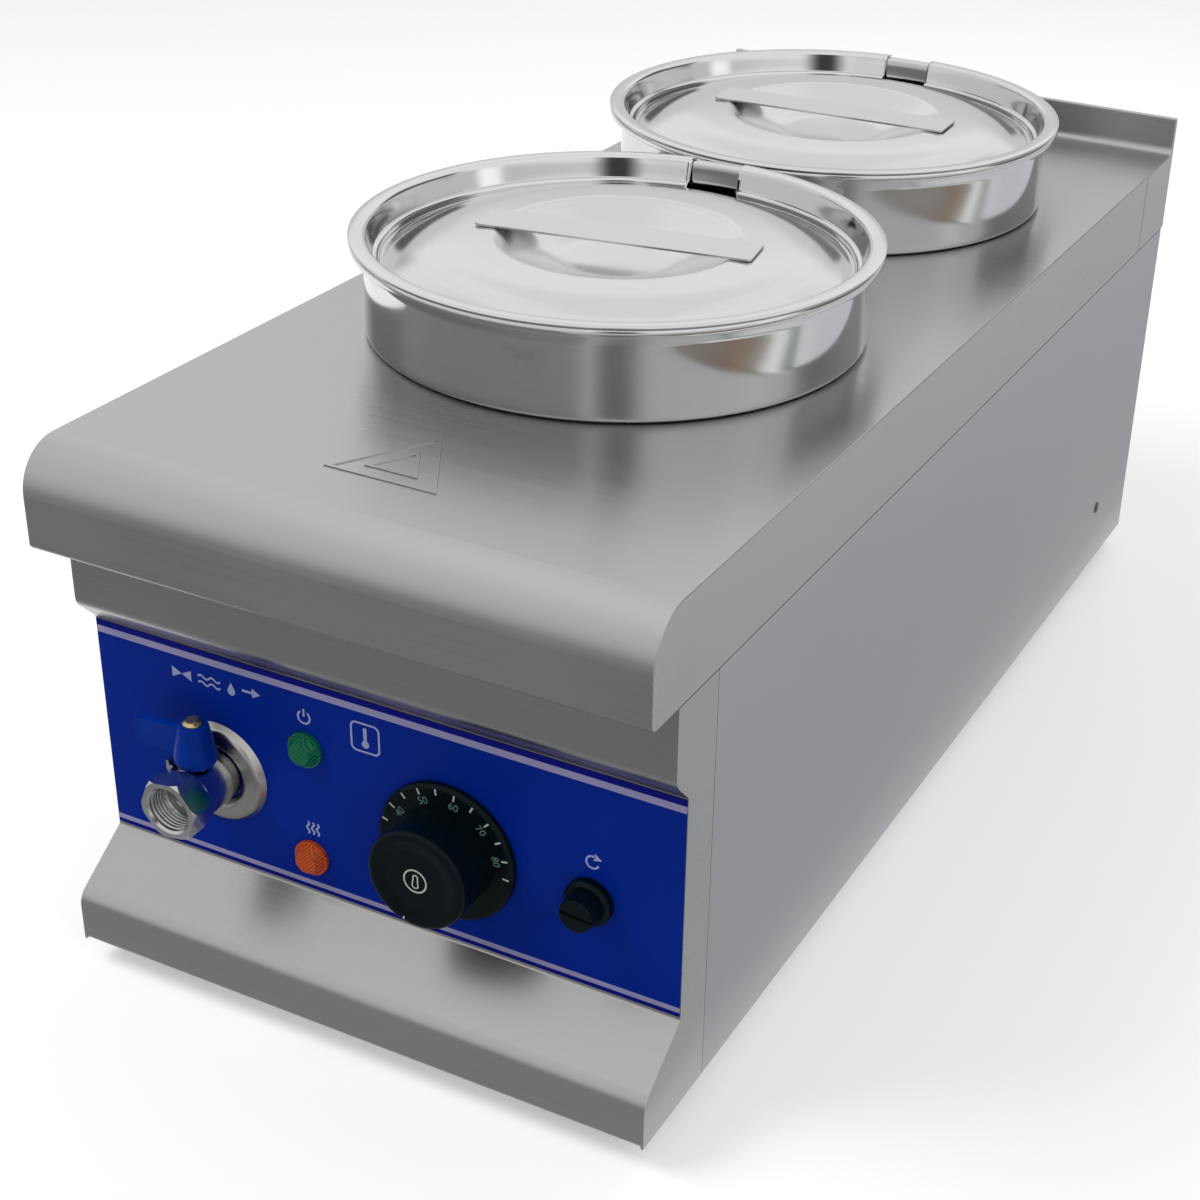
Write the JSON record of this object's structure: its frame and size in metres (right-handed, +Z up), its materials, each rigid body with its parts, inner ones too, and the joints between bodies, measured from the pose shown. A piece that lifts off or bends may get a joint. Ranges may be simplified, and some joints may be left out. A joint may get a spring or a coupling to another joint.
{
  "type": "wet bain marie",
  "caption": "Narrow countertop wet bain marie with lidded round pots over a heated water tank, front thermostat knob, pilot lamps, reset cap and drain valve.",
  "frame": {"origin": "centre of the bounding box in plan, at the level of the feet", "axes": "+Z up, +Y from the controls to the rear upstand, +X to the right when facing the controls"},
  "size_m": [0.3, 0.694, 0.3146],
  "materials": {
    "cabinet_steel": "brushed along its length",
    "fascia_steel": "brushed across the front",
    "tank_steel": "drawn, dull",
    "pot_steel": "polished, spun",
    "lid_steel": "bright satin, spun",
    "label_film": "printed film, blue with pale lines",
    "valve_chrome": "plated",
    "brass": "machined",
    "seat_white": "plain",
    "lever_blue": "moulded, satin",
    "knob_black": "moulded, satin",
    "reset_black": "moulded, satin",
    "green_lens": "clear tinted, faceted",
    "orange_lens": "clear tinted, faceted",
    "black_plastic": "moulded",
    "white_plastic": "moulded",
    "zinc_steel": "zinc plated",
    "dark_screw": "dulled",
    "element_steel": "heat-dulled",
    "fibre": "pressed fibre",
    "copper": "drawn",
    "lead_sleeve": "glass-braid sleeve",
    "rubber": "matt"
  },
  "bodies": {
    "cabinet": {"worktop": "cabinet_steel", "front_fascia": "fascia_steel", "control_label": "label_film", "left_side_panel": "cabinet_steel", "right_side_panel": "cabinet_steel", "rear_panel": "cabinet_steel", "base_tray": "cabinet_steel", "water_tank": "tank_steel", "valve_body": "valve_chrome", "valve_tail": "valve_chrome", "valve_seats": "seat_white", "packing_nut": "valve_chrome", "valve_rosette": "valve_chrome", "drain_locknut": "brass", "drain_pipe": "tank_steel", "thermostat_body": "zinc_steel", "thermostat_screws": "zinc_steel", "limiter_body": "black_plastic", "reset_nut": "reset_black", "green_lens": "green_lens", "orange_lens": "orange_lens", "lamp_bodies": "black_plastic", "lamp_clips": "zinc_steel", "heating_element": "element_steel", "element_glands": "brass", "gland_seals": "fibre", "gland_nuts": "brass", "temperature_probe": "copper", "probe_gland": "brass", "probe_posts": "tank_steel", "inlet_gland": "black_plastic", "inlet_nut": "black_plastic", "terminal_block": "white_plastic", "terminal_screws": "brass", "earth_stud": "brass", "inner_leads": "lead_sleeve", "rubber_feet": "rubber", "foot_screws": "zinc_steel", "foot_nuts": "zinc_steel", "side_screws": "dark_screw", "rear_screws": "zinc_steel"},
    "drain_lever": {"drain_lever": "lever_blue", "valve_stem": "brass", "valve_ball": "valve_chrome", "lever_nut": "brass"},
    "temperature_knob": {"thermostat_knob": "knob_black", "thermostat_dial": "knob_black", "thermostat_shaft": "zinc_steel"},
    "reset_cap": {"reset_cap": "reset_black"},
    "reset_pin": {"reset_pin": "white_plastic"},
    "front_pot": {"front_pot": "pot_steel"},
    "front_lid": {"front_lid": "lid_steel", "front_lid_strap": "lid_steel"},
    "rear_pot": {"rear_pot": "pot_steel"},
    "rear_lid": {"rear_lid": "lid_steel", "rear_lid_strap": "lid_steel"}
  },
  "joints": [
    {"name": "drain_lever_turn", "type": "hinge", "parent": "cabinet", "child": "drain_lever", "pos_m": [-0.0854, -0.325, 0.129], "axis": [0, 0, 1], "range_deg": [0, 90]},
    {"name": "temperature_knob_turn", "type": "hinge", "parent": "cabinet", "child": "temperature_knob", "pos_m": [0.036, -0.319, 0.1076], "axis": [0, 1, 0], "range_deg": [-112, 128]},
    {"name": "reset_cap_off", "type": "slide", "parent": "cabinet", "child": "reset_cap", "axis": [0, -1, 0], "range_m": [0, 0.03]},
    {"name": "reset_pin_press", "type": "slide", "parent": "cabinet", "child": "reset_pin", "axis": [0, 1, 0], "range_m": [0, 0.002], "stiffness_N_per_m": 800, "springref_m": -0.001},
    {"name": "front_pot_lift", "type": "slide", "parent": "cabinet", "child": "front_pot", "axis": [0, 0, 1], "range_m": [0, 0.16]},
    {"name": "front_lid_lift", "type": "slide", "parent": "front_pot", "child": "front_lid", "axis": [0, 0, 1], "range_m": [0, 0.06]},
    {"name": "rear_pot_lift", "type": "slide", "parent": "cabinet", "child": "rear_pot", "axis": [0, 0, 1], "range_m": [0, 0.16]},
    {"name": "rear_lid_lift", "type": "slide", "parent": "rear_pot", "child": "rear_lid", "axis": [0, 0, 1], "range_m": [0, 0.06]}
  ]
}
